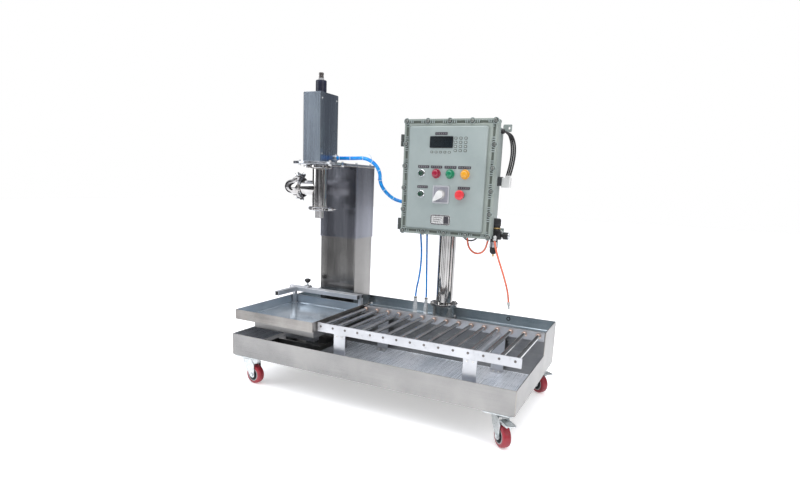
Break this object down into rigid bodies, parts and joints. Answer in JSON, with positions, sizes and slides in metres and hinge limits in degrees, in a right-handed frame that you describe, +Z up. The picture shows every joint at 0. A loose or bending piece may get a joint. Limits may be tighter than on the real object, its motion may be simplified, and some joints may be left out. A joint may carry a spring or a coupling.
{
  "type": "inline weigh filling machine",
  "caption": "Bench-height filling machine on casters: drip tray base, weighing platform, roller conveyor, column with a filling valve on a lifting head, and a control box on a round post.",
  "frame": {"origin": "on the floor under the middle of the base tray", "axes": "+X along the conveyor towards its discharge end, +Y from the operator's side to the back, +Z up"},
  "size_m": [1.2462, 0.6869, 1.287],
  "materials": {
    "brushed_stainless": "brushed, fine grain",
    "polished_stainless": "mirror polished",
    "dark_stainless": "brushed, darker",
    "white_aluminium": "satin anodised",
    "roller_steel": "ground and polished",
    "zinc": "zinc plated",
    "red_tread": "moulded polyurethane",
    "case_grey": "satin powder coat",
    "door_grey": "satin powder coat",
    "black_plastic": "matte",
    "black_button": "gloss",
    "red_button": "gloss",
    "white_plastic": "satin",
    "navy_sleeve": "satin",
    "blue_hose": "extruded",
    "orange_hose": "extruded",
    "black_cable": "extruded",
    "regulator_body": "moulded"
  },
  "bodies": {
    "machine": {"base_tray": "brushed_stainless", "rear_plinth": "brushed_stainless", "weigh_scale": "dark_stainless", "weigh_pan": "brushed_stainless", "guide_stand": "white_aluminium", "conveyor_frame": "white_aluminium", "column_mast": "dark_stainless", "box_post": "polished_stainless", "box_case": "case_grey", "control_gear": "white_plastic", "air_regulator": "regulator_body", "hose_fittings": "polished_stainless", "head_hose_bundle": "blue_hose", "blue_hose_left": "blue_hose", "blue_hose_right": "blue_hose", "orange_loop_hose": "orange_hose", "orange_inlet_hose": "orange_hose", "side_cable": "black_cable", "air_plug": "polished_stainless"},
    "filling_head": {"column_sleeve": "dark_stainless", "head_plate": "brushed_stainless", "cylinder_housing": "brushed_stainless", "air_cylinder": "navy_sleeve", "filling_valve": "polished_stainless", "inlet_elbow": "polished_stainless", "clamp_rings": "polished_stainless"},
    "valve_rod": {"valve_rod": "dark_stainless"},
    "control_door": {"box_door": "door_grey", "door_fittings": "black_plastic"},
    "push_button_upper": {"push_button_upper": "black_button"},
    "push_button_lower": {"push_button_lower": "black_button"},
    "emergency_stop": {"emergency_stop": "red_button"},
    "selector_knob": {"selector_knob": "white_plastic"},
    "regulator_knob": {"regulator_knob": "black_plastic"},
    "guide_bar": {"guide_bar": "white_aluminium"},
    "caster_fork_front_left": {"caster_fork_front_left": "zinc"},
    "caster_wheel_front_left": {"caster_wheel_front_left": "red_tread"},
    "caster_fork_front_right": {"caster_fork_front_right": "zinc"},
    "caster_wheel_front_right": {"caster_wheel_front_right": "red_tread"},
    "brake_pedal_front_right": {"brake_pedal_front_right": "zinc"},
    "caster_fork_rear_left": {"caster_fork_rear_left": "zinc"},
    "caster_wheel_rear_left": {"caster_wheel_rear_left": "red_tread"},
    "caster_fork_rear_right": {"caster_fork_rear_right": "zinc"},
    "caster_wheel_rear_right": {"caster_wheel_rear_right": "red_tread"},
    "brake_pedal_rear_right": {"brake_pedal_rear_right": "zinc"},
    "roller_01": {"roller_01": "roller_steel"},
    "roller_02": {"roller_02": "roller_steel"},
    "roller_03": {"roller_03": "roller_steel"},
    "roller_04": {"roller_04": "roller_steel"},
    "roller_05": {"roller_05": "roller_steel"},
    "roller_06": {"roller_06": "roller_steel"},
    "roller_07": {"roller_07": "roller_steel"},
    "roller_08": {"roller_08": "roller_steel"},
    "roller_09": {"roller_09": "roller_steel"},
    "roller_10": {"roller_10": "roller_steel"},
    "roller_11": {"roller_11": "roller_steel"},
    "roller_12": {"roller_12": "roller_steel"},
    "roller_13": {"roller_13": "roller_steel"},
    "roller_14": {"roller_14": "roller_steel"},
    "roller_15": {"roller_15": "roller_steel"}
  },
  "joints": [
    {"name": "head_lift", "type": "slide", "parent": "machine", "child": "filling_head", "axis": [0, 0, 1], "range_m": [-0.12, 0.06], "deforming": ["head_hose_bundle"]},
    {"name": "valve_rod_slide", "type": "slide", "parent": "filling_head", "child": "valve_rod", "axis": [0, 0, 1], "range_m": [0, 0.025]},
    {"name": "door_hinge", "type": "hinge", "parent": "machine", "child": "control_door", "pos_m": [-0.082, 0.165, 0.8805], "axis": [0, 0, -1], "range_deg": [0, 110]},
    {"name": "push_button_upper_press", "type": "slide", "parent": "control_door", "child": "push_button_upper", "axis": [0, 1, 0], "range_m": [0, 0.004], "stiffness_N_per_m": 500},
    {"name": "push_button_lower_press", "type": "slide", "parent": "control_door", "child": "push_button_lower", "axis": [0, 1, 0], "range_m": [0, 0.004], "stiffness_N_per_m": 500},
    {"name": "emergency_stop_press", "type": "slide", "parent": "control_door", "child": "emergency_stop", "axis": [0, 1, 0], "range_m": [0, 0.004]},
    {"name": "selector_turn", "type": "hinge", "parent": "control_door", "child": "selector_knob", "pos_m": [0.112, 0.136, 0.813], "axis": [0, 1, 0], "range_deg": [0, 90]},
    {"name": "regulator_knob_turn", "type": "hinge", "parent": "machine", "child": "regulator_knob", "pos_m": [0.34, 0.22, 0.709], "axis": [0, 0, 1], "range_deg": [-360, 360]},
    {"name": "guide_bar_slide", "type": "slide", "parent": "machine", "child": "guide_bar", "axis": [1, 0, 0], "range_m": [-0.04, 0.1]},
    {"name": "caster_swivel_front_left", "type": "hinge", "parent": "machine", "child": "caster_fork_front_left", "pos_m": [-0.54, -0.282, 0.1], "axis": [0, 0, 1], "continuous": true},
    {"name": "caster_roll_front_left", "type": "hinge", "parent": "caster_fork_front_left", "child": "caster_wheel_front_left", "pos_m": [-0.50831, -0.28645, 0.04], "axis": [0.1392, 0.9903, 0], "continuous": true},
    {"name": "caster_swivel_front_right", "type": "hinge", "parent": "machine", "child": "caster_fork_front_right", "pos_m": [0.54, -0.282, 0.1], "axis": [0, 0, 1], "continuous": true},
    {"name": "caster_roll_front_right", "type": "hinge", "parent": "caster_fork_front_right", "child": "caster_wheel_front_right", "pos_m": [0.56141, -0.30578, 0.04], "axis": [0.7431, 0.6691, 0], "continuous": true},
    {"name": "brake_pedal_press_front_right", "type": "hinge", "parent": "caster_fork_front_right", "child": "brake_pedal_front_right", "pos_m": [0.56409, -0.30875, 0.094], "axis": [0.7431, 0.6691, 0], "range_deg": [0, 12]},
    {"name": "caster_swivel_rear_left", "type": "hinge", "parent": "machine", "child": "caster_fork_rear_left", "pos_m": [-0.54, 0.282, 0.1], "axis": [0, 0, 1], "continuous": true},
    {"name": "caster_roll_rear_left", "type": "hinge", "parent": "caster_fork_rear_left", "child": "caster_wheel_rear_left", "pos_m": [-0.51077, 0.29502, 0.04], "axis": [-0.4067, 0.9135, 0], "continuous": true},
    {"name": "caster_swivel_rear_right", "type": "hinge", "parent": "machine", "child": "caster_fork_rear_right", "pos_m": [0.54, 0.282, 0.1], "axis": [0, 0, 1], "continuous": true},
    {"name": "caster_roll_rear_right", "type": "hinge", "parent": "caster_fork_rear_right", "child": "caster_wheel_rear_right", "pos_m": [0.56522, 0.2623, 0.04], "axis": [0.6157, 0.788, 0], "continuous": true},
    {"name": "brake_pedal_press_rear_right", "type": "hinge", "parent": "caster_fork_rear_right", "child": "brake_pedal_rear_right", "pos_m": [0.56837, 0.25984, 0.094], "axis": [0.6157, 0.788, 0], "range_deg": [0, 12]},
    {"name": "roller_01_roll", "type": "hinge", "parent": "machine", "child": "roller_01", "pos_m": [-0.183, -0.103, 0.296], "axis": [0, 1, 0], "continuous": true},
    {"name": "roller_02_roll", "type": "hinge", "parent": "machine", "child": "roller_02", "pos_m": [-0.12857, -0.103, 0.296], "axis": [0, 1, 0], "continuous": true},
    {"name": "roller_03_roll", "type": "hinge", "parent": "machine", "child": "roller_03", "pos_m": [-0.07414, -0.103, 0.296], "axis": [0, 1, 0], "continuous": true},
    {"name": "roller_04_roll", "type": "hinge", "parent": "machine", "child": "roller_04", "pos_m": [-0.01971, -0.103, 0.296], "axis": [0, 1, 0], "continuous": true},
    {"name": "roller_05_roll", "type": "hinge", "parent": "machine", "child": "roller_05", "pos_m": [0.03471, -0.103, 0.296], "axis": [0, 1, 0], "continuous": true},
    {"name": "roller_06_roll", "type": "hinge", "parent": "machine", "child": "roller_06", "pos_m": [0.08914, -0.103, 0.296], "axis": [0, 1, 0], "continuous": true},
    {"name": "roller_07_roll", "type": "hinge", "parent": "machine", "child": "roller_07", "pos_m": [0.14357, -0.103, 0.296], "axis": [0, 1, 0], "continuous": true},
    {"name": "roller_08_roll", "type": "hinge", "parent": "machine", "child": "roller_08", "pos_m": [0.198, -0.103, 0.296], "axis": [0, 1, 0], "continuous": true},
    {"name": "roller_09_roll", "type": "hinge", "parent": "machine", "child": "roller_09", "pos_m": [0.25243, -0.103, 0.296], "axis": [0, 1, 0], "continuous": true},
    {"name": "roller_10_roll", "type": "hinge", "parent": "machine", "child": "roller_10", "pos_m": [0.30686, -0.103, 0.296], "axis": [0, 1, 0], "continuous": true},
    {"name": "roller_11_roll", "type": "hinge", "parent": "machine", "child": "roller_11", "pos_m": [0.36129, -0.103, 0.296], "axis": [0, 1, 0], "continuous": true},
    {"name": "roller_12_roll", "type": "hinge", "parent": "machine", "child": "roller_12", "pos_m": [0.41571, -0.103, 0.296], "axis": [0, 1, 0], "continuous": true},
    {"name": "roller_13_roll", "type": "hinge", "parent": "machine", "child": "roller_13", "pos_m": [0.47014, -0.103, 0.296], "axis": [0, 1, 0], "continuous": true},
    {"name": "roller_14_roll", "type": "hinge", "parent": "machine", "child": "roller_14", "pos_m": [0.52457, -0.103, 0.296], "axis": [0, 1, 0], "continuous": true},
    {"name": "roller_15_roll", "type": "hinge", "parent": "machine", "child": "roller_15", "pos_m": [0.579, -0.103, 0.296], "axis": [0, 1, 0], "continuous": true}
  ]
}
